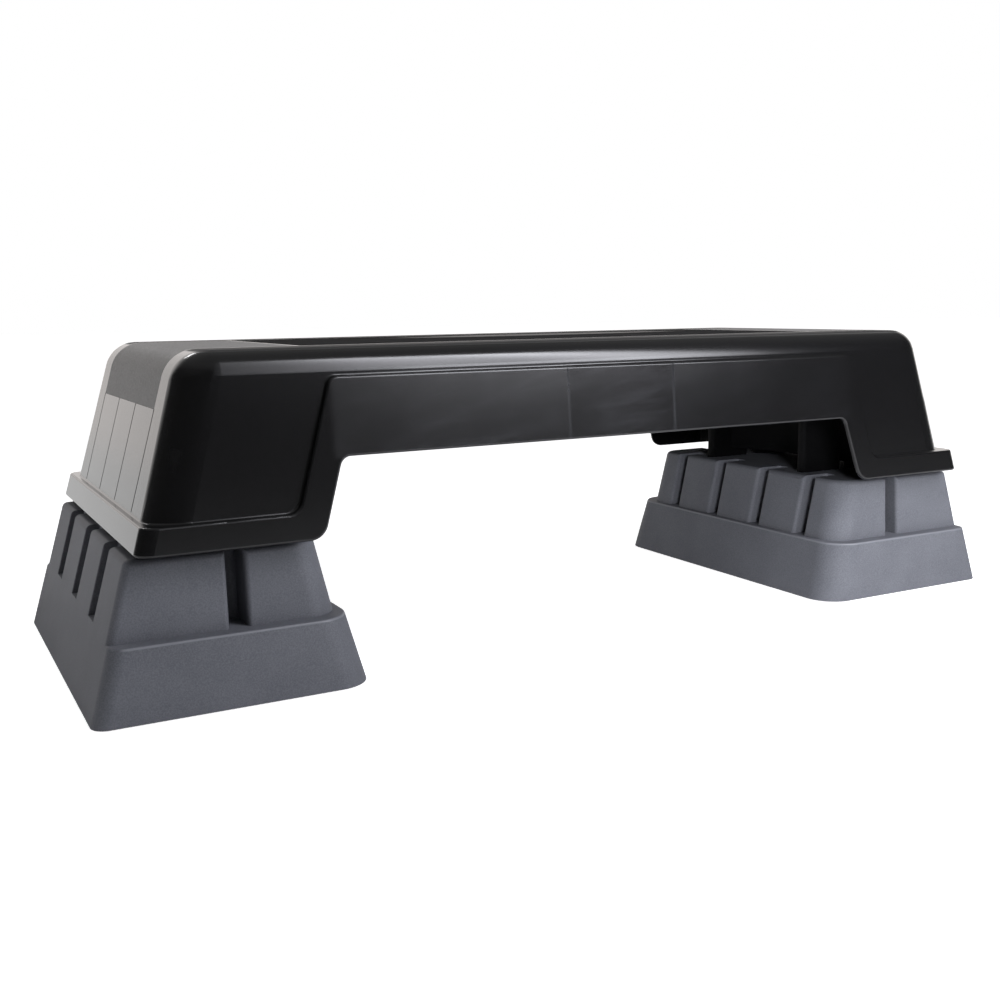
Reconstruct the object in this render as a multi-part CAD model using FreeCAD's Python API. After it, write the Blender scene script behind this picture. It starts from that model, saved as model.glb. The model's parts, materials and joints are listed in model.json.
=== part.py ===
import FreeCAD, Part
import math
import os

from FreeCAD import Vector

# Stance on the floor
overall_length = 900.0        # between the outer feet of the two risers
overall_width = 345.0         # across the risers at the floor
riser_height = 116.0          # floor to the riser's top
riser_foot_length = 214.0     # along the deck, at the floor

# Riser outside; a draft is how far a face leans in per unit of height
plinth_height = 57.0          # floor to the ledge
plinth_edge_radius = 2.0      # rounded edge of the ledge
ledge_overlap = 12.0          # upper block runs this far down into the plinth
end_draft = 0.283             # outer ends, shared with the deck
plinth_inner_draft = 0.268
plinth_side_draft = 0.08
side_ledge = 13.0             # depth of the ledge on the front and back
inner_ledge = 6.5             # depth of the ledge on the inner side
upper_inner_draft = 0.222
upper_side_draft = 0.06
plinth_outer_radius = 12.0    # plan corners at the outer end
plinth_inner_radius = 28.0    # plan corners at the inner side
upper_outer_radius = 6.0
upper_inner_radius = 23.0
riser_top_radius = 5.0        # rounded top edge

# Riser grooves
groove_width = 14.0
groove_depth = 30.0
groove_mouth_radius = 3.5
inner_groove_pitch = 70.0     # upright grooves in the inner face
inner_groove_count = 4
end_slot_pitch = 82.0         # upright slots in the outer end
end_slot_count = 3
end_slot_rise = 3.0           # slots end this far above the ledge
end_slot_width = 23.0
end_slot_depth = 11.0
end_slot_mouth_radius = 1.0
side_groove_offset = 112.0    # front and back groove, from the outer foot

# Riser inside
riser_wall = 3.5
rib_wall = 2.5
least_radius = 1.0            # tightest inside corner
rim_lift = 1.0                # the rim hangs this far above the floor
riser_rib_lift = 6.0          # ribs end this far above the floor
riser_rib_pitch = 68.0        # ribs across the riser's length
riser_rib_count = 2

# Rubber feet of the risers
foot_radius = 15.0
foot_height = 4.0
foot_inset = 42.0             # from the outer faces at the floor
foot_plate = 3.0              # web that carries the foot
foot_plate_margin = 6.0       # web around the foot

# Deck outside
rim_gap = 4.0                 # deck rim over the riser's top
rim_setback = 3.0             # deck rim inside the riser's end face
side_setback = 0.5            # deck rim inside the riser's foot, front and back
deck_height = 143.0           # underside of the rim to the tread
rim_height = 21.0             # band around the foot of the boots
deck_side_draft = 0.085
end_shoulder_radius = 28.0
side_shoulder_radius = 20.0
deck_corner_radius = 30.0     # plan corners of the walls
rim_corner_radius = 12.0      # plan corners of the rim, outside
band_proud = 5.0              # raised band and apron stand out of the walls
band_edge_radius = 1.8        # rounded outer edge of the band
band_root_radius = 1.6        # hollow radius where the band leaves the walls
fillet_margin = 0.2           # flat left between those two
apron_drop = 21.5             # tread to the upper edge of the raised apron
leg_band_width = 25.0         # raised band along the inner edge of a boot
apron_corner_radius = 8.0
boot_corner_radius = 12.0     # where the rim band turns up the boot
arch_rise = 61.0              # underside of the rim to the underside of the apron
toe_setback = 3.0             # boot's inner edge behind the riser's top edge
leg_draft = 0.30              # inner edge of the boots
arch_corner_radius = 9.0
boot_toe_radius = 15.0        # lower inner corner of the boots

# Deck inside
deck_wall = 3.5
tread_wall = 4.5
beam_rib_recess = 10.0        # ribs under the tread end this far above the apron's edge
cross_rib_count = 4           # to each side; the last one is the boot's bulkhead
bulkhead_recess = 5.0         # bulkhead ends this far above the rim's underside
bay_depth = 28.0              # hollow of the curved wall between the pillars
pillar_offset = 74.5          # pillars lie this far off the centre line
pillar_width = 11.0
pillar_radius = 4.5           # rounded inner edges of a pillar
pillar_setback = 14.0         # inner pillars behind the riser's top edge
pillar_length = 51.0
outer_pillar_gap = 16.0       # hidden pillars behind the bulkhead
outer_pillar_length = 44.0
shoe_height = 4.0             # rubber shoe under each pillar
socket_depth = 6.0            # pocket in the riser that takes the shoe
socket_clearance = 1.5

# Rubber on the tread
pad_thickness = 1.8
pad_clearance = 0.2
tread_width = 204.0
tread_rib = 3.0               # moulded rib between the mat and an end grip
grip_length = 100.0           # end grip along the tread
grip_drop = 44.0              # end grip down the end wall

# Shallow upright lines in the deck's end wall
end_line_width = 2.0
end_line_depth = 0.6
end_line_count = 4

# How far cutting blocks run past what they cut, and how near counts as touching
overrun = 60.0
contact = 0.001

half_length = overall_length / 2
riser_inner_x = half_length - riser_foot_length
riser_middle_x = half_length - riser_foot_length / 2
deck_width = overall_width - 2 * side_setback
deck_base = riser_height + rim_gap
deck_top = deck_base + deck_height
rim_top = deck_base + rim_height
arch_top = deck_base + arch_rise
apron_top = deck_top - apron_drop
socket_floor = riser_height - socket_depth
pillar_foot = socket_floor + shoe_height


def steps(count, pitch):
    """Positions of a row that is centred on zero."""
    return [(i - (count - 1) / 2) * pitch for i in range(count)]


def box(x0, x1, y0, y1, z0, z1):
    return Part.makeBox(x1 - x0, y1 - y0, z1 - z0, Vector(x0, y0, z0))


def corner_arc(before, corner, after, radius):
    """Arc that rounds a corner between two straight runs."""
    to_before = (before - corner).normalize()
    to_after = (after - corner).normalize()
    half = to_before.getAngle(to_after) / 2
    reach = radius / math.tan(half)
    bisector = (to_before + to_after).normalize()
    middle = corner + bisector * (radius / math.sin(half) - radius)
    return corner + to_before * reach, middle, corner + to_after * reach


def rounded_wire(points, radii):
    """Closed outline through corners, each rounded where it has a radius."""
    count = len(points)
    edges = []
    ends = []
    for i, corner in enumerate(points):
        if radii[i] > 0:
            arc = corner_arc(points[i - 1], corner, points[(i + 1) % count], radii[i])
            edges.append(Part.Arc(*arc).toShape())
            ends.append((arc[0], arc[2]))
        else:
            ends.append((corner, corner))
    for i in range(count):
        start = ends[i][1]
        finish = ends[(i + 1) % count][0]
        if start.distanceToPoint(finish) > contact:
            edges.append(Part.LineSegment(start, finish).toShape())
    return Part.Wire(Part.__sortEdges__(edges))


def extrude(points, radii, direction):
    return Part.Face(rounded_wire(points, radii)).extrude(direction)


def side_prism(profile, radii):
    """Block with an outline seen from the front, right through the step."""
    points = [Vector(x, -overall_length, z) for x, z in profile]
    return extrude(points, radii, Vector(0, 2 * overall_length, 0))


def loft(outlines):
    return Part.makeLoft(outlines, True, True)


def turned(shape):
    """The same piece at the other end of the step."""
    copy = shape.copy()
    copy.rotate(Vector(0, 0, 0), Vector(0, 0, 1), 180)
    return copy


def both_ends(pieces):
    return pieces + [turned(piece) for piece in pieces]


# Riser faces

def end_wall_x(z):
    return half_length - end_draft * z


def upper_inner_x(z):
    foot = riser_inner_x + plinth_inner_draft * plinth_height + inner_ledge
    return foot + upper_inner_draft * (z - plinth_height)


def upper_half_width(z):
    foot = overall_width / 2 - plinth_side_draft * plinth_height - side_ledge
    return foot - upper_side_draft * (z - plinth_height)


def riser_outline(z, inner_x, half_width, inner_radius, outer_radius, inset):
    x0 = inner_x + inset
    x1 = end_wall_x(z) - inset
    y = half_width - inset
    points = [Vector(x0, -y, z), Vector(x1, -y, z), Vector(x1, y, z), Vector(x0, y, z)]
    inner = max(inner_radius - inset, least_radius)
    outer = max(outer_radius - inset, least_radius)
    return rounded_wire(points, [inner, outer, outer, inner])


def plinth_outline(z, inset):
    inner_x = riser_inner_x + plinth_inner_draft * z
    half_width = overall_width / 2 - plinth_side_draft * z
    return riser_outline(z, inner_x, half_width, plinth_inner_radius, plinth_outer_radius, inset)


def upper_outline(z, inset):
    return riser_outline(z, upper_inner_x(z), upper_half_width(z),
                         upper_inner_radius, upper_outer_radius, inset)


def round_top(block, radius):
    top = block.BoundBox.ZMax
    return block.makeFillet(radius, [edge for edge in block.Edges if edge.BoundBox.ZMin > top - contact])


def riser_outside():
    plinth = loft([plinth_outline(rim_lift, 0), plinth_outline(plinth_height, 0)])
    upper = loft([upper_outline(plinth_height - ledge_overlap, 0), upper_outline(riser_height, 0)])
    return round_top(plinth, plinth_edge_radius).fuse(round_top(upper, riser_top_radius))


def riser_cavity():
    roof = riser_height - riser_wall
    ledge = plinth_height - riser_wall
    lower = loft([plinth_outline(0, riser_wall), plinth_outline(ledge, riser_wall)])
    upper = loft([upper_outline(ledge - riser_wall, riser_wall), upper_outline(roof, riser_wall)])
    return lower.fuse(upper)


# Riser grooves

def groove(face, inward, along, lean, foot, form, wall):
    """Upright groove in a leaning face, or with a wall the skin behind it."""
    width, depth, mouth = form
    half = width / 2 + wall
    profile = [(-overrun, -half - mouth), (0, -half - mouth), (0, -half),
               (depth + wall, -half), (depth + wall, half),
               (0, half), (0, half + mouth), (-overrun, half + mouth)]
    points = [face + inward * u + along * v for u, v in profile]
    floor_radius = min(mouth, half / 2)
    radii = [0, 0, mouth, floor_radius, floor_radius, mouth, 0, 0]
    rise = riser_height + overrun - foot
    return extrude(points, radii, (inward * lean + Vector(0, 0, 1)) * rise)


def riser_grooves(wall):
    ledge = plinth_height - wall
    slot_foot = plinth_height + end_slot_rise - wall
    to_outer = Vector(1, 0, 0)
    to_back = Vector(0, 1, 0)
    deep = (groove_width, groove_depth, groove_mouth_radius)
    shallow = (end_slot_width, end_slot_depth, end_slot_mouth_radius)
    cuts = []
    for y in steps(inner_groove_count, inner_groove_pitch):
        face = Vector(upper_inner_x(ledge), y, ledge)
        cuts.append(groove(face, to_outer, to_back, upper_inner_draft, ledge, deep, wall))
    for y in steps(end_slot_count, end_slot_pitch):
        face = Vector(end_wall_x(slot_foot), y, slot_foot)
        cuts.append(groove(face, to_outer * -1, to_back, end_draft, slot_foot, shallow, wall))
    for side in (-1, 1):
        face = Vector(half_length - side_groove_offset, side * upper_half_width(ledge), ledge)
        cuts.append(groove(face, to_back * -side, to_outer, upper_side_draft, ledge, deep, wall))
    return cuts


# Riser feet and sockets

def foot_centres():
    y = overall_width / 2 - foot_inset
    inner = riser_inner_x + foot_inset
    outer = half_length - foot_inset
    return {"front_inner": (inner, -y), "front_outer": (outer, -y),
            "back_inner": (inner, y), "back_outer": (outer, y)}


def foot_web(x, y):
    """Web in a corner of the riser, from its walls to past the foot."""
    reach = foot_radius + foot_plate_margin
    x_wall = half_length if x > riser_middle_x else riser_inner_x
    y_wall = math.copysign(overall_width / 2, y)
    x_free = x - math.copysign(reach, x_wall - x)
    y_free = y - math.copysign(reach, y_wall)
    return box(min(x_wall, x_free), max(x_wall, x_free), min(y_wall, y_free), max(y_wall, y_free),
               foot_height, foot_height + foot_plate)


def riser_ribs():
    half = rib_wall / 2
    ribs = []
    for dx in steps(riser_rib_count, riser_rib_pitch):
        x = riser_middle_x + dx
        ribs.append(box(x - half, x + half, -overall_width, overall_width, riser_rib_lift, riser_height))
    for y in steps(inner_groove_count, inner_groove_pitch):
        ribs.append(box(riser_inner_x, half_length, y - half, y + half, riser_rib_lift, riser_height))
    return ribs


def pillar_start():
    return upper_inner_x(riser_height) + pillar_setback


def bulkhead_x():
    return pillar_start() + pillar_length


def pillar_spans():
    """Both ends and the middle depth of the four pillars in one boot."""
    inner = (pillar_start(), bulkhead_x())
    outer_start = bulkhead_x() + outer_pillar_gap
    outer = (outer_start, outer_start + outer_pillar_length)
    return {"front_inner": inner + (-pillar_offset,), "front_outer": outer + (-pillar_offset,),
            "back_inner": inner + (pillar_offset,), "back_outer": outer + (pillar_offset,)}


def pillar_block(span, grow, z0, z1):
    """Upright block on a pillar's plan, its sides moved out by grow."""
    x0, x1, y = span
    half = pillar_width / 2 + grow
    points = [Vector(x0 - grow, y - half, z0), Vector(x1 + grow, y - half, z0),
              Vector(x1 + grow, y + half, z0), Vector(x0 - grow, y + half, z0)]
    radius = pillar_radius + grow
    return extrude(points, [radius, 0, 0, radius], Vector(0, 0, z1 - z0))


def make_riser():
    spans = pillar_spans().values()
    sockets = [pillar_block(span, socket_clearance, socket_floor, riser_height + overrun)
               for span in spans]
    socket_walls = [pillar_block(span, socket_clearance + riser_wall, socket_floor - riser_wall,
                                 riser_height) for span in spans]
    webs = [foot_web(x, y) for x, y in foot_centres().values()]
    kept = riser_ribs() + webs + socket_walls + riser_grooves(riser_wall)
    cells = riser_cavity().cut(kept)
    return riser_outside().cut(riser_grooves(0) + sockets).cut(cells)


def make_foot(x, y):
    return Part.makeCylinder(foot_radius, foot_height, Vector(x, y, 0))


# Deck faces

def deck_end_x(z):
    step = rim_setback + band_proud * math.hypot(1, end_draft)
    return end_wall_x(z) - step


def deck_side_y(z):
    step = band_proud * math.hypot(1, deck_side_draft)
    return deck_width / 2 - step - deck_side_draft * (z - deck_base)


def leg_edge_x(z):
    toe = upper_inner_x(riser_height) + toe_setback
    return toe - leg_draft * (z - deck_base)


def rounded_edges(shape, radius_of):
    """Round the edges of a shape, each with a radius of its own."""
    document = FreeCAD.newDocument()
    base = document.addObject("Part::Feature")
    base.Shape = shape
    rounded = document.addObject("Part::Fillet")
    rounded.Base = base
    radii = [radius_of(edge) for edge in shape.Edges]
    rounded.Edges = [(i + 1, radius, radius) for i, radius in enumerate(radii) if radius > 0]
    document.recompute()
    result = rounded.Shape.copy()
    FreeCAD.closeDocument(document.Name)
    return result


def plan_corner_radius(grow):
    """Corner of the deck in plan: the rim's outside the walls, or else the walls' own."""
    if grow > 0:
        return max(rim_corner_radius + grow - band_proud, least_radius)
    return deck_corner_radius + grow


def deck_block(grow):
    """Drafted block of the deck, its faces moved out by grow."""
    top = deck_top + grow

    def section(z):
        x = deck_end_x(z) + grow * math.hypot(1, end_draft)
        y = deck_side_y(z) + grow * math.hypot(1, deck_side_draft)
        return Part.makePolygon([Vector(-x, -y, z), Vector(x, -y, z), Vector(x, y, z),
                                 Vector(-x, y, z), Vector(-x, -y, z)])

    def radius_of(edge):
        size = edge.BoundBox
        if size.ZMax < top - contact:
            return 0
        if size.ZMin < top - contact:
            return plan_corner_radius(grow)
        if size.XLength < contact:
            return end_shoulder_radius + grow
        return side_shoulder_radius + grow

    return rounded_edges(loft([section(deck_base), section(top)]), radius_of)


def arch_prism():
    """The space under the deck between the boots."""
    toe = leg_edge_x(deck_base)
    crown = leg_edge_x(arch_top)
    floor = deck_base - overrun
    profile = [(-toe - overrun, floor), (-toe - overrun, deck_base), (-toe, deck_base),
               (-crown, arch_top), (crown, arch_top),
               (toe, deck_base), (toe + overrun, deck_base), (toe + overrun, floor)]
    return side_prism(profile, [0, 0, boot_toe_radius, arch_corner_radius, arch_corner_radius,
                                boot_toe_radius, 0, 0])


def band_prism(inset):
    """Outline of the raised band: rim, boot edges and apron."""
    turn = leg_edge_x(rim_top) + leg_band_width - inset
    head = leg_edge_x(apron_top) + leg_band_width - inset
    low = rim_top - inset
    high = apron_top - inset
    far = overall_length
    profile = [(-far, deck_base), (far, deck_base), (far, low), (turn, low),
               (head, high), (-head, high), (-turn, low), (-far, low)]
    corner = max(apron_corner_radius - inset, least_radius)
    turn_radius = boot_corner_radius + inset
    return side_prism(profile, [0, 0, 0, turn_radius, corner, corner, turn_radius, 0])


def lies_on(edge, shape):
    """Whether an edge's middle is on a shape."""
    middle = edge.valueAt((edge.FirstParameter + edge.LastParameter) / 2)
    return Part.Vertex(middle).distToShape(shape)[0] < contact


def above_rim(edge):
    return edge.BoundBox.ZMax > deck_base + contact


def make_band():
    """Raised band with its outer edges rounded."""
    outside = deck_block(band_proud)
    band = outside.common(band_prism(0)).cut(arch_prism())
    skin = outside.Shells[0]
    own_edges = Part.makeCompound(outside.Edges)
    outer_edges = [edge for edge in band.Edges
                   if above_rim(edge) and lies_on(edge, skin) and not lies_on(edge, own_edges)]
    return band.makeFillet(band_edge_radius, outer_edges)


def deck_outside():
    """Walls of the deck with the raised band run into them."""
    walls = deck_block(0)
    outside = walls.cut(arch_prism()).fuse(make_band()).removeSplitter()
    wall_skin = walls.Shells[0]
    band_side = band_prism(0).Shells[0]
    roots = [edge for edge in outside.Edges
             if above_rim(edge) and lies_on(edge, wall_skin) and lies_on(edge, band_side)]
    radius = min(band_root_radius, band_proud - band_edge_radius - fillet_margin)
    return outside.makeFillet(radius, roots)


# Rubber on the tread

def pad_space(grow):
    """Places of the tread mat and the two end grips, seen from above."""
    grip_start = deck_end_x(deck_top) - grip_length
    mat_end = grip_start - tread_rib
    half = tread_width / 2 + grow
    high = deck_top + overrun
    mat = box(-mat_end - grow, mat_end + grow, -half, half, arch_top, high)
    grip = box(grip_start - grow, half_length, -half, half, deck_top - grip_drop - grow, high)
    return {"tread_mat": mat, "grip_right": grip, "grip_left": turned(grip)}


def pads_between(inner, space):
    outside = deck_block(0)
    seat = deck_block(-inner)
    return {name: outside.common(place).cut(seat) for name, place in space.items()}


def make_pads():
    return pads_between(pad_thickness - pad_clearance, pad_space(0))


def pad_pockets():
    return list(pads_between(pad_thickness, pad_space(pad_clearance)).values())


def end_lines():
    """Shallow upright lines in both end walls, from the grips to the rim."""
    head = deck_top - grip_drop
    foot = rim_top + band_root_radius
    profile = [(deck_end_x(foot) - end_line_depth, foot), (half_length, foot),
               (half_length, head), (deck_end_x(head) - end_line_depth, head)]
    slab = side_prism(profile, [0] * 4)
    half = end_line_width / 2
    pitch = tread_width / (end_line_count - 1)
    lines = [slab.common(box(0, half_length, y - half, y + half, 0, deck_top))
             for y in steps(end_line_count, pitch)]
    return both_ends(lines)


# Inside of the deck

def bay_wall():
    """Curved wall between the two inner pillars of a boot."""
    base = deck_base + bulkhead_recess
    height = deck_top - base
    radius = (pillar_offset ** 2 + bay_depth ** 2) / (2 * bay_depth)
    centre = Vector(bulkhead_x() - radius, 0, base)
    ring = Part.makeCylinder(radius + rib_wall, height, centre)
    ring = ring.cut(Part.makeCylinder(radius, height, centre))
    return ring.common(box(bulkhead_x() - bay_depth, half_length, -pillar_offset, pillar_offset,
                           base, deck_top))


def deck_ribs():
    """Everything that stands inside the deck's hollow."""
    half = rib_wall / 2
    rib_foot = arch_top + beam_rib_recess
    pitch = bulkhead_x() / cross_rib_count
    ribs = []
    for x in steps(2 * cross_rib_count - 1, pitch):
        ribs.append(box(x - half, x + half, -deck_width, deck_width, rib_foot, deck_top))
    for y in (-pillar_offset, 0, pillar_offset):
        ribs.append(box(-half_length, half_length, y - half, y + half, rib_foot, deck_top))
    bulkhead = box(bulkhead_x(), bulkhead_x() + rib_wall, -deck_width, deck_width,
                   deck_base + bulkhead_recess, deck_top)
    pillars = [pillar_block(span, 0, deck_base, deck_top) for span in pillar_spans().values()]
    return ribs + both_ends([bulkhead, bay_wall()] + pillars)


def deck_cavity():
    """Hollow of the deck, open below, that follows the raised band."""
    roof = box(-half_length, half_length, -deck_width, deck_width, deck_base, deck_top - tread_wall)
    band = deck_block(band_proud - deck_wall).common(band_prism(deck_wall))
    return deck_block(-deck_wall).fuse(band).common(roof)


def make_deck():
    cells = deck_cavity().cut(deck_ribs())
    ends = [pillar_block(span, 0, pillar_foot, deck_base) for span in pillar_spans().values()]
    hollow = deck_outside().cut([cells] + pad_pockets() + end_lines())
    return hollow.fuse(both_ends(ends)).removeSplitter()


def make_shoe(span):
    return pillar_block(span, 0, socket_floor, pillar_foot)


# Pieces at the left end stand across from those at the right end

def place_pairs(kind, pieces):
    across = {"front": "back", "back": "front"}
    nodes = {}
    for place, piece in pieces.items():
        depth, reach = place.split("_")
        nodes[kind + "_right_" + place] = piece
        nodes[kind + "_left_" + across[depth] + "_" + reach] = turned(piece)
    return nodes


def all_nodes():
    riser = make_riser()
    nodes = {"deck_shell": make_deck(), "riser_right": riser, "riser_left": turned(riser)}
    nodes.update(make_pads())
    feet = {place: make_foot(x, y) for place, (x, y) in foot_centres().items()}
    shoes = {place: make_shoe(span) for place, span in pillar_spans().items()}
    nodes.update(place_pairs("riser_foot", feet))
    nodes.update(place_pairs("deck_shoe", shoes))
    return nodes


os.makedirs("parts", exist_ok=True)
for name, shape in all_nodes().items():
    print(name, "solids", len(shape.Solids), "valid", shape.isValid(), "volume", round(shape.Volume))
    shape.exportStep("parts/" + name + ".step")
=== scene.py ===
import json
import math

import bpy
from mathutils import Matrix, Vector

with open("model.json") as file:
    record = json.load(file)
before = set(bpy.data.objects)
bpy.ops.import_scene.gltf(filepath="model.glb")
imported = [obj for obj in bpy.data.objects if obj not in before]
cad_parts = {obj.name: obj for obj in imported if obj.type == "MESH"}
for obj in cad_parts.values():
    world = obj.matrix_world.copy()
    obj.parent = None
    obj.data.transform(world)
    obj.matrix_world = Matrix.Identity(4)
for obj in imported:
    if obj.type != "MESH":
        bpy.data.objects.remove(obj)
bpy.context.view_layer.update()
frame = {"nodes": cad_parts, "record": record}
nodes = frame["nodes"]
print("frame loaded:", len(nodes), "nodes")


class Shade:  # one socket of a node tree, with arithmetic
    def __init__(self, tree, socket=None):
        self.tree = tree
        self.socket = socket

    def node(self, kind, settings, sockets, out=0):
        made = self.tree.nodes.new(kind)
        for name, value in settings.items():
            setattr(made, name, value)
        for name, value in sockets.items():
            if isinstance(value, Shade):
                self.tree.links.new(value.socket, made.inputs[name])
            else:
                made.inputs[name].default_value = value
        return Shade(self.tree, made.outputs[out] if made.outputs else None)

    def maths(self, operation, *values):
        return self.node("ShaderNodeMath", {"operation": operation}, dict(enumerate(values)))

    def __add__(self, other):
        return self.maths("ADD", self, other)

    def __sub__(self, other):
        return self.maths("SUBTRACT", self, other)

    def __rsub__(self, other):
        return self.maths("SUBTRACT", other, self)

    def __mul__(self, other):
        return self.maths("MULTIPLY", self, other)

    def __abs__(self):
        return self.maths("ABSOLUTE", self)

    __radd__ = __add__
    __rmul__ = __mul__


noiseMean = 0.5  # what a noise texture gives on average


def smooth(value, low, high):  # 0 below low, 1 above high, eased between
    return value.node("ShaderNodeMapRange", {"interpolation_type": "SMOOTHSTEP"},
                      {0: value, 1: low, 2: high, 3: 0.0, 4: 1.0})


def between(value, low, high, soft):  # 1 inside a span, eased at both ends
    return smooth(value, low - soft, low + soft) * (1 - smooth(value, high - soft, high + soft))


def mixTones(mask, first, second):
    return mask.node("ShaderNodeMix", {"data_type": "RGBA"}, {0: mask, 6: first, 7: second}, 2)


def stretch(place, scale):
    return place.node("ShaderNodeVectorMath", {"operation": "MULTIPLY"}, {0: place, 1: scale})


def axes(place, names="XYZ"):
    return [place.node("ShaderNodeSeparateXYZ", {}, {0: place}, name) for name in names]


def noise(place, scale, detail=2.0, rough=0.5):
    return place.node("ShaderNodeTexNoise", {},
                      {"Vector": place, "Scale": scale, "Detail": detail, "Roughness": rough}, "Fac")


def bump(height, distance):
    return height.node("ShaderNodeBump", {}, {"Strength": 1.0, "Distance": distance, "Height": height})


def startFinish(name):  # a bare material and its place in the frame, in metres
    material = bpy.data.materials.new(name)
    material.use_nodes = True
    material.node_tree.nodes.clear()
    bare = Shade(material.node_tree)
    return material, bare.node("ShaderNodeTexCoord", {}, {}, "Object")


def closeFinish(place, sockets, mask=None, changes=None):  # changes hold where the mask is 1
    surface = place.node("ShaderNodeBsdfPrincipled", {}, sockets)
    if mask is not None:
        other = place.node("ShaderNodeBsdfPrincipled", {}, {**sockets, **changes})
        surface = place.node("ShaderNodeMixShader", {}, {0: mask, 1: surface, 2: other})
    place.node("ShaderNodeOutputMaterial", {}, {"Surface": surface})


def rgb(red, green, blue):
    return (red, green, blue, 1.0)


black = rgb(0, 0, 0)
white = rgb(1, 1, 1)


# Deck: black moulded plastic, glossy walls, a duller scratched apron with a middle panel edged by painted
# highlight lines, streaked ends
deckLook = {
    "tone": rgb(0.0030, 0.0030, 0.0033), "rough": 0.17, "specular": 0.5,
    "grain": 1500.0, "grainDepth": 0.000010,
    "wave": (11.0, 1.0),  # a noise is its scale, detail and roughness
    "waveStretch": (1.0, 1.0, 0.5), "waveDepth": 0.00009,
    "cloud": (16.0, 4.0, 0.55), "cloudRough": 0.03,
    "apronHalf": 0.262, "apronEndSoft": 0.004, "apronLow": 0.180, "apronHigh": 0.2415, "apronSoft": 0.0015,
    "apronMiddle": 0.210, "apronRough": 0.065,
    "handledEnd": (-0.05, 0.13), "handledLoss": 0.8,  # less wear towards +X
    "scratches": ((11.0, 190.0), (19.0, 330.0), (2.0, 460.0)),  # slant in degrees, fineness
    "scratchStretch": (2.0, 3.0), "scratchSpan": (0.48, 0.74), "scratchPatch": (0.34, 0.66),
    "scratchGain": 0.22,
    "smudge": (1.0, 5.0, 0.6), "smudgeStretch": (9.0, 9.0, 22.0), "smudgeSpan": (0.42, 0.66),
    "smudgeGain": 0.2,
    "scuffAndHighlightTone": rgb(0.030, 0.031, 0.035), "scuffRough": 0.05,
    # the line gain paints a pale highlight of the scuff tone along the panel lines
    "panelHalf": 0.054, "panelTilt": 0.012, "lineDepth": 0.00002, "lineWidth": 0.0012, "lineHighlightGain": 0.32,
    "insideX": 0.380, "insideY": 0.155, "insideZ": (0.19, 0.196), "insideSoft": 0.003,
    "insideRough": 0.5, "insideSpecular": 0.12,
    "endX": (0.372, 0.382), "endHalf": 0.112, "endSoft": 0.008, "endTone": rgb(0.018, 0.018, 0.018),
    "endStretch": (0.0, 420.0, 9.0), "endSpan": (0.4, 0.7),
    "streak": (1.0, 3.0, 0.6),  # noise of the scratches and the end streaks
    "topZ": (0.2610, 0.2624), "topY": (0.1045, 0.1065), "topRough": 0.5,
}


def scratch(look, place, angle, fineness):  # thin streaks along one slant of the front
    turned = place.node("ShaderNodeVectorRotate", {"rotation_type": "Y_AXIS"},
                        {"Vector": place, "Angle": math.radians(angle)})
    streaks = noise(stretch(turned, (*look["scratchStretch"], fineness)), *look["streak"])
    return smooth(streaks, *look["scratchSpan"])


def panelLines(look, x):  # a fine line along each side of the middle panel: a small ridge in the bump, and a painted pale highlight in the colour
    span, width = look["panelHalf"], look["lineWidth"]
    return between(abs(x), span - width, span + width, width)


def apronHeight(look, x, z):  # the middle panel leans a little, its lines stand out a little
    span = look["panelHalf"]
    tilt = between(x, -span, span, look["lineWidth"]) * (z - look["apronMiddle"]) * look["panelTilt"]
    return tilt + panelLines(look, x) * look["lineDepth"]


def endStreaks(look, place, x, y):  # pale upright streaks on the two end walls
    streaks = noise(stretch(place, look["endStretch"]), *look["streak"])
    flat = smooth(abs(x), *look["endX"]) * between(y, -look["endHalf"], look["endHalf"], look["endSoft"])
    return flat * smooth(streaks, *look["endSpan"])


def dullTop(look, y, z):  # flat of the tread beside the mat, but for a thin line along the mat
    return smooth(z, *look["topZ"]) * smooth(abs(y), *look["topY"])


def apronArea(look, x, z):
    along = between(x, -look["apronHalf"], look["apronHalf"], look["apronEndSoft"])
    return along * between(z, look["apronLow"], look["apronHigh"], look["apronSoft"])


def insideArea(look, x, y, z):  # the hollow under the tread and in the boots
    along = between(x, -look["insideX"], look["insideX"], look["insideSoft"])
    deep = between(y, -look["insideY"], look["insideY"], look["insideSoft"])
    return along * (1 - smooth(z, *look["insideZ"])) * deep


def makeDeckPlastic():
    look = deckLook
    material, place = startFinish("deckPlastic")
    x, y, z = axes(place)
    apron = apronArea(look, x, z)
    inside = insideArea(look, x, y, z)
    grain = noise(place, look["grain"])
    cloud = noise(place, *look["cloud"])
    smudge = noise(stretch(place, look["smudgeStretch"]), *look["smudge"])
    scuff = sum(scratch(look, place, *slant) for slant in look["scratches"])
    handled = apron * (1 - smooth(x, *look["handledEnd"]) * look["handledLoss"])
    wear = smooth(cloud, *look["scratchPatch"]) * scuff * look["scratchGain"] \
        + smooth(smudge, *look["smudgeSpan"]) * look["smudgeGain"]
    # scratches and smudges are wear; the pale tone on the panel lines is a painted highlight
    wearAndLineHighlight = handled * wear + apron * panelLines(look, x) * look["lineHighlightGain"]
    scuffsAndHighlights = mixTones(wearAndLineHighlight, look["tone"], look["scuffAndHighlightTone"])
    tone = mixTones(endStreaks(look, place, x, y), scuffsAndHighlights, look["endTone"])
    rough = look["rough"] + handled * look["apronRough"] + wearAndLineHighlight * look["scuffRough"] \
        + inside * look["insideRough"] + dullTop(look, y, z) * look["topRough"] \
        + (cloud - noiseMean) * look["cloudRough"]
    wave = noise(stretch(place, look["waveStretch"]), *look["wave"])
    height = wave * look["waveDepth"] + grain * look["grainDepth"] + apron * apronHeight(look, x, z)
    closeFinish(place, {"Base Color": tone, "Roughness": rough, "Normal": bump(height, 1.0),
                        "Specular IOR Level": look["specular"]},
                inside, {"Specular IOR Level": look["insideSpecular"]})
    return material
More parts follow.
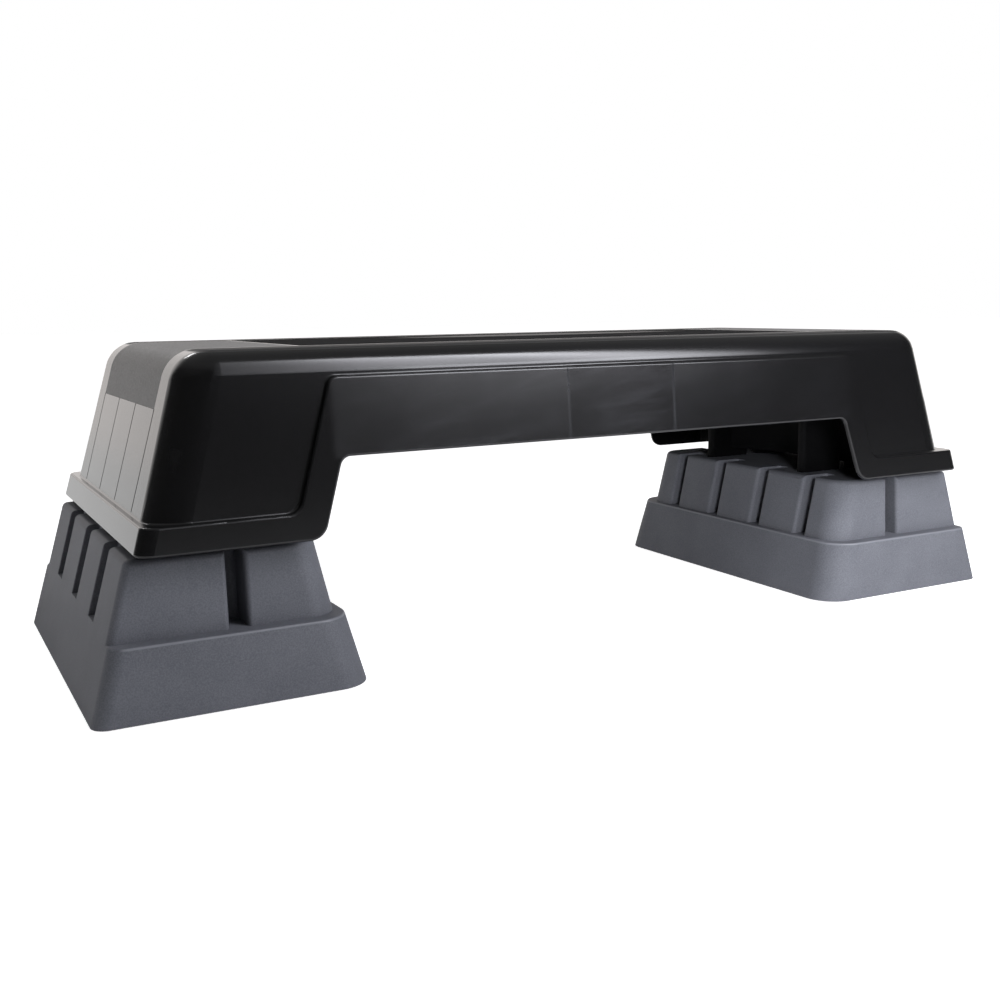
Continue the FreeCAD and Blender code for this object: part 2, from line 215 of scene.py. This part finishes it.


# Risers: blue-grey moulded plastic with a fine matte texture and a painted highlight along the ledge's
# edge
riserLook = {
    "tone": rgb(0.074, 0.077, 0.088), "paleTone": rgb(0.112, 0.116, 0.130), "rough": 0.60, "specular": 0.3,
    "grain": (900.0, 3.0, 0.6), "grainDepth": 0.00007, "grainRough": 0.12,
    "grainSpan": (0.3, 0.72), "grainShare": 0.75,
    "cloud": (30.0, 3.0), "cloudSpan": (0.3, 0.7), "cloudShare": 0.25,
    # the edge keys paint a pale highlight line along the ledge and make it a little glossier
    "edgeLow": 0.0552, "edgeHigh": 0.0567, "edgeSoft": 0.0003, "edgeReach": 0.426, "edgeEndSoft": 0.002,
    "ledgeHighlightTone": rgb(0.135, 0.139, 0.153), "edgeShine": 0.2,
}


def paintedLedgeHighlight(look, x, z):  # a painted highlight: the pale line painted where the plinth's ledge turns down
    line = between(z, look["edgeLow"], look["edgeHigh"], look["edgeSoft"])
    return line * between(x, -look["edgeReach"], look["edgeReach"], look["edgeEndSoft"])


def makeRiserPlastic():
    look = riserLook
    material, place = startFinish("riserPlastic")
    ledgeHighlight = paintedLedgeHighlight(look, *axes(place, "XZ"))
    grain = noise(place, *look["grain"])
    cloud = noise(place, *look["cloud"])
    speck = smooth(grain, *look["grainSpan"]) * look["grainShare"] \
        + smooth(cloud, *look["cloudSpan"]) * look["cloudShare"]
    rough = look["rough"] + (grain - noiseMean) * look["grainRough"] - ledgeHighlight * look["edgeShine"]
    # the pale tone along the ledge's edge is a painted highlight; its lower roughness is real shine
    tone = mixTones(ledgeHighlight, mixTones(speck, look["tone"], look["paleTone"]), look["ledgeHighlightTone"])
    closeFinish(place, {"Base Color": tone, "Roughness": rough, "Normal": bump(grain, look["grainDepth"]),
                        "Specular IOR Level": look["specular"]})
    return material


# Rubber: tread mat, end grips, feet and shoes share one recipe
rubberBase = {"grainForm": (2.0, 0.6), "cloud": (30.0, 4.0), "cloudRough": 0.15, "dustSpan": (0.4, 0.7)}
rubberLooks = {
    "mat_rubber": {"name": "matRubber",
                   "tone": rgb(0.010, 0.010, 0.0105), "dust": rgb(0.018, 0.018, 0.0185), "rough": 0.98,
                   "grain": 900.0, "grainDepth": 0.00015, "specular": 0.03, "speckle": 0.1,
                   "polish": {"x": 0.045, "y": 0.042, "halfX": 0.19, "halfY": 0.036, "fade": 0.7,
                              "gain": 0.5, "specular": 0.3}},
    "grip_rubber": {"name": "gripRubber",
                    "tone": rgb(0.075, 0.075, 0.076), "dust": rgb(0.105, 0.105, 0.106), "rough": 0.50,
                    "grain": 620.0, "grainDepth": 0.00022, "specular": 0.5, "speckle": 0.4},
    "foot_rubber": {"name": "footRubber",
                    "tone": rgb(0.02, 0.02, 0.021), "dust": rgb(0.035, 0.034, 0.033), "rough": 0.7,
                    "grain": 800.0, "grainDepth": 0.0001, "specular": 0.3, "speckle": 0.1},
}


def polished(place, spot):  # 1 in a lens-shaped patch, worn smooth
    x, y = axes(place, "XY")
    along = (x - spot["x"]) * (1 / spot["halfX"])
    deep = (y - spot["y"]) * (1 / spot["halfY"])
    return smooth(1 - along * along - deep * deep, 0.0, spot["fade"])


def makeRubber(look):
    material, place = startFinish(look["name"])
    grain = noise(place, look["grain"], *rubberBase["grainForm"])
    cloud = noise(place, *rubberBase["cloud"])
    tone = mixTones(smooth(cloud, *rubberBase["dustSpan"]), look["tone"], look["dust"])
    rough = look["rough"] + (cloud - noiseMean) * rubberBase["cloudRough"] \
        + (grain - noiseMean) * look["speckle"]
    sockets = {"Base Color": tone, "Roughness": rough, "Normal": bump(grain, look["grainDepth"]),
               "Specular IOR Level": look["specular"]}
    spot = look.get("polish")
    if spot:
        closeFinish(place, sockets, polished(place, spot),
                    {"Roughness": rough - spot["gain"], "Specular IOR Level": spot["specular"]})
    else:
        closeFinish(place, sockets)
    return material


def dressNodes():
    finishes = {"deck_plastic": makeDeckPlastic(), "riser_plastic": makeRiserPlastic()}
    for slotName, look in rubberLooks.items():
        finishes[slotName] = makeRubber(look)
    for part in frame["record"]["subparts"]:
        mesh = nodes[part["node"]].data
        mesh.materials.clear()
        mesh.materials.append(finishes[part["material_slot"]])
    print("finishes:", len(finishes), "on", len(nodes), "nodes")


# Camera at the photograph's view, for a square frame
cameraSet = {"place": (-0.560069, -0.982339, 0.291392), "yaw": 28.238, "pitch": 9.532, "roll": -0.714,
             "lens": 41.4709, "sensor": 36.0}


def placeCamera():
    yaw, pitch, roll = (math.radians(cameraSet[turn]) for turn in ("yaw", "pitch", "roll"))
    ahead = Vector((math.sin(yaw) * math.cos(pitch), math.cos(yaw) * math.cos(pitch), -math.sin(pitch)))
    level = Vector((math.cos(yaw), -math.sin(yaw), 0))
    upright = level.cross(ahead)
    across = level * math.cos(roll) + upright * math.sin(roll)
    upward = upright * math.cos(roll) - level * math.sin(roll)
    data = bpy.data.cameras.new("camera")
    data.lens = cameraSet["lens"]
    data.sensor_width = cameraSet["sensor"]
    camera = bpy.data.objects.new("camera", data)
    turn = Matrix((across, upward, -ahead)).transposed().to_4x4()
    camera.matrix_world = Matrix.Translation(cameraSet["place"]) @ turn
    bpy.context.scene.collection.objects.link(camera)
    bpy.context.scene.camera = camera


# Studio: white floor and backdrop, a tall bank of lamps in front, one low lamp, one at the back, two fills
studioSet = {"floorSize": 30.0, "floorTone": rgb(0.9, 0.9, 0.9), "floorRough": 0.9, "floorSpecular": 0.1,
             "floorGlow": 0.8, "floorGlowY": (0.2, 0.7), "front": 0.07,
             "overhead": 0.22, "overheadZ": (0.4, 0.9), "back": 1.14, "backTint": rgb(1.0, 0.955, 0.93),
             "backX": (-0.6, -0.25), "backY": (0.1, 0.5), "backZ": (0.25, 0.7)}
coolTint = (0.93, 0.938, 1.0)
bankSet = {"start": (-0.356, -1.0, 0.92), "aim": (0.1, -0.1, 0.2), "strip": 0.0925, "tall": 1.1,
           "powers": (0.06, 0.1, 0.15, 0.25, 0.5, 1.0, 2.0, 2.6, 2.3, 2.1, 3.1, 3.8, 3.3, 2.2)}
softboxes = [
    {"name": "lowBox", "place": (0.42, -1.0, 0.45), "aim": (0.0, -0.17, 0.23), "size": (0.45, 0.12),
     "power": 0.11, "tint": coolTint, "spread": 60.0, "mirrored": True},
    {"name": "backTop", "place": (-0.45, 1.1, 0.95), "aim": (-0.39, -0.14, 0.25), "size": (0.25, 0.12),
     "power": 0.8, "tint": (1.0, 1.0, 1.0), "spread": 180.0, "mirrored": True},
    {"name": "rightFill", "place": (-0.35, -1.12, 0.35), "aim": (0.36, -0.1, 0.04), "size": (0.2, 0.2),
     "power": 1.2, "tint": (0.97, 0.97, 1.0), "spread": 50.0, "mirrored": False},
    {"name": "leftFill", "place": (-1.5, 0.3, 0.5), "aim": (-0.42, 0.0, 0.06), "size": (0.4, 0.4),
     "power": 0.42, "tint": (1.0, 0.98, 0.97), "spread": 40.0, "mirrored": False},
]


def frontBank():  # upright strips side by side, dim at the left
    x, y, z = bankSet["start"]
    width = bankSet["strip"]
    return [{"name": "frontBox" + str(number), "place": (x + width * number, y, z), "aim": bankSet["aim"],
             "size": (width, bankSet["tall"]), "power": power, "tint": coolTint, "spread": 180.0,
             "mirrored": True}
            for number, power in enumerate(bankSet["powers"])]


def cameraRay(bare):  # 1 where the camera looks straight at the studio
    return bare.node("ShaderNodeLightPath", {}, {}, "Is Camera Ray")


def layFloor():
    half = studioSet["floorSize"] / 2
    mesh = bpy.data.meshes.new("floor")
    corners = [(-half, -half, 0), (half, -half, 0), (half, half, 0), (-half, half, 0)]
    mesh.from_pydata(corners, [], [(0, 1, 2, 3)])
    floor = bpy.data.objects.new("floor", mesh)
    bpy.context.scene.collection.objects.link(floor)
    material, place = startFinish("floorPaper")
    lit = smooth(axes(place, "Y")[0], *studioSet["floorGlowY"])
    glow = mixTones(place.maths("MAXIMUM", cameraRay(place), lit), black, white)
    closeFinish(place, {"Base Color": studioSet["floorTone"], "Roughness": studioSet["floorRough"],
                        "Specular IOR Level": studioSet["floorSpecular"],
                        "Emission Color": glow, "Emission Strength": studioSet["floorGlow"]})
    mesh.materials.append(material)


def lightSurround():
    world = bpy.data.worlds.new("studio")
    world.use_nodes = True
    world.node_tree.nodes.clear()
    bare = Shade(world.node_tree)
    x, y, z = axes(bare.node("ShaderNodeTexCoord", {}, {}, "Generated"))
    backdrop = smooth(y, *studioSet["backY"]) * smooth(x, *studioSet["backX"]) \
        * (1 - smooth(z, *studioSet["backZ"]))
    overhead = smooth(z, *studioSet["overheadZ"])
    level = studioSet["front"] + overhead * studioSet["overhead"] + backdrop * studioSet["back"]
    seen = cameraRay(bare)
    strength = level * (1 - seen) + seen
    tint = mixTones(backdrop * (1 - seen), white, studioSet["backTint"])
    glow = bare.node("ShaderNodeBackground", {}, {"Color": tint, "Strength": strength})
    bare.node("ShaderNodeOutputWorld", {}, {"Surface": glow})
    bpy.context.scene.world = world


def hangSoftbox(box):
    data = bpy.data.lights.new(box["name"], "AREA")
    data.shape = "RECTANGLE"
    data.size, data.size_y = box["size"]
    data.energy = box["power"]
    data.color = box["tint"]
    data.spread = math.radians(box["spread"])
    lamp = bpy.data.objects.new(box["name"], data)
    aim = Vector(box["aim"]) - Vector(box["place"])
    lamp.location = box["place"]
    lamp.rotation_euler = aim.to_track_quat("-Z", "Y").to_euler()
    lamp.visible_camera = False
    lamp.visible_glossy = box["mirrored"]
    bpy.context.scene.collection.objects.link(lamp)


def setStudio():
    layFloor()
    lightSurround()
    lamps = frontBank() + softboxes
    for lamp in lamps:
        hangSoftbox(lamp)
    bpy.context.scene.view_settings.view_transform = "Standard"
    print("studio:", len(lamps), "softboxes")


dressNodes()
placeCamera()
setStudio()
